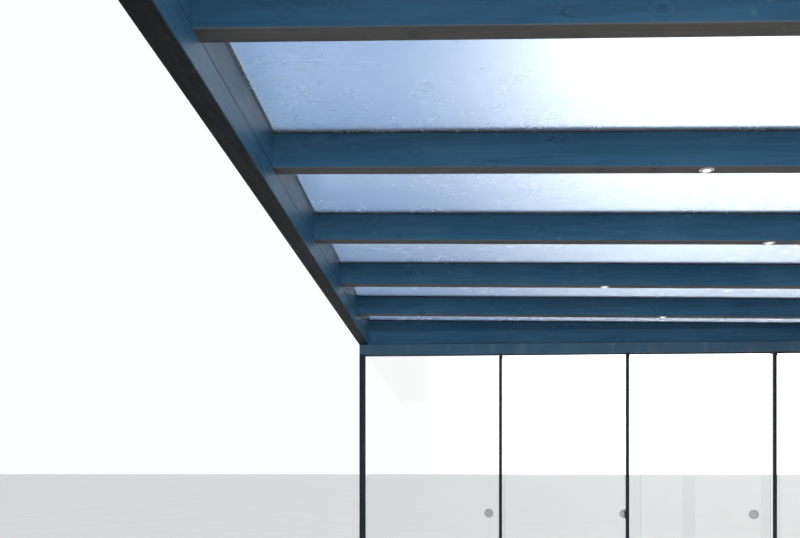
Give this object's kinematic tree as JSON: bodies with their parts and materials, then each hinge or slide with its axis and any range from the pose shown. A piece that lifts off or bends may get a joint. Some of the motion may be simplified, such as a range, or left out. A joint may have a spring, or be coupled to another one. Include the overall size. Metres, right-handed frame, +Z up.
{
  "type": "patio roof with a glass sliding side wall",
  "caption": "Wall-mounted timber patio roof with glazed rafter bays, posts, gutter and a glass sliding side wall.",
  "frame": {"origin": "back face of the wall purlin, at the middle of its length and height", "axes": "+X away from the wall, +Y along the wall towards the glazed end, +Z up"},
  "size_m": [3.7196, 5.23, 2.4425],
  "materials": {
    "painted_timber": "satin paint over glued timber",
    "opal_glass": "milky laminated glass",
    "clear_glass": "clear toughened glass",
    "coated_aluminium": "dark powder coat",
    "satin_metal": "satin anodised",
    "galvanised_steel": "hot dip galvanised",
    "black_rubber": "matt black seal"
  },
  "bodies": {
    "frame": {"wall_purlin": "painted_timber", "infill_blocks": "painted_timber", "rafter_1": "painted_timber", "rafter_2": "painted_timber", "rafter_3": "painted_timber", "rafter_4": "painted_timber", "rafter_5": "painted_timber", "rafter_6": "painted_timber", "rafter_7": "painted_timber", "rafter_8": "painted_timber", "front_beam": "painted_timber", "post_near": "painted_timber", "post_middle": "painted_timber", "post_far": "painted_timber", "side_header": "painted_timber", "levelling_wedge": "painted_timber", "roof_pane_1": "opal_glass", "roof_pane_2": "opal_glass", "roof_pane_3": "opal_glass", "roof_pane_4": "opal_glass", "roof_pane_5": "opal_glass", "roof_pane_6": "opal_glass", "roof_pane_7": "opal_glass", "glazing_gaskets": "black_rubber", "glazing_caps": "coated_aluminium", "wall_flashing": "coated_aluminium", "post_shoes": "galvanised_steel", "gutter": "coated_aluminium", "gutter_fixings": "galvanised_steel", "downpipe": "coated_aluminium", "spot_lights": "satin_metal", "top_rail": "coated_aluminium", "floor_rail": "coated_aluminium", "wall_profile": "coated_aluminium", "post_profile": "coated_aluminium"},
    "pane_1": {"sliding_pane_1": "clear_glass", "pane_fittings_1": "satin_metal"},
    "pane_2": {"sliding_pane_2": "clear_glass", "pane_fittings_2": "satin_metal", "pane_seal_2": "black_rubber"},
    "pane_3": {"sliding_pane_3": "clear_glass", "pane_fittings_3": "satin_metal", "pane_seal_3": "black_rubber"},
    "pane_4": {"sliding_pane_4": "clear_glass", "pane_fittings_4": "satin_metal", "pane_seal_4": "black_rubber"}
  },
  "joints": [
    {"name": "pane_1_slide", "type": "slide", "parent": "frame", "child": "pane_1", "axis": [1, 0, 0], "range_m": [-0.026, 2.468]},
    {"name": "pane_2_slide", "type": "slide", "parent": "frame", "child": "pane_2", "axis": [1, 0, 0], "range_m": [-0.85, 1.644]},
    {"name": "pane_3_slide", "type": "slide", "parent": "frame", "child": "pane_3", "axis": [1, 0, 0], "range_m": [-1.618, 0.876]},
    {"name": "pane_4_slide", "type": "slide", "parent": "frame", "child": "pane_4", "axis": [1, 0, 0], "range_m": [-2.487, 0.007]}
  ]
}
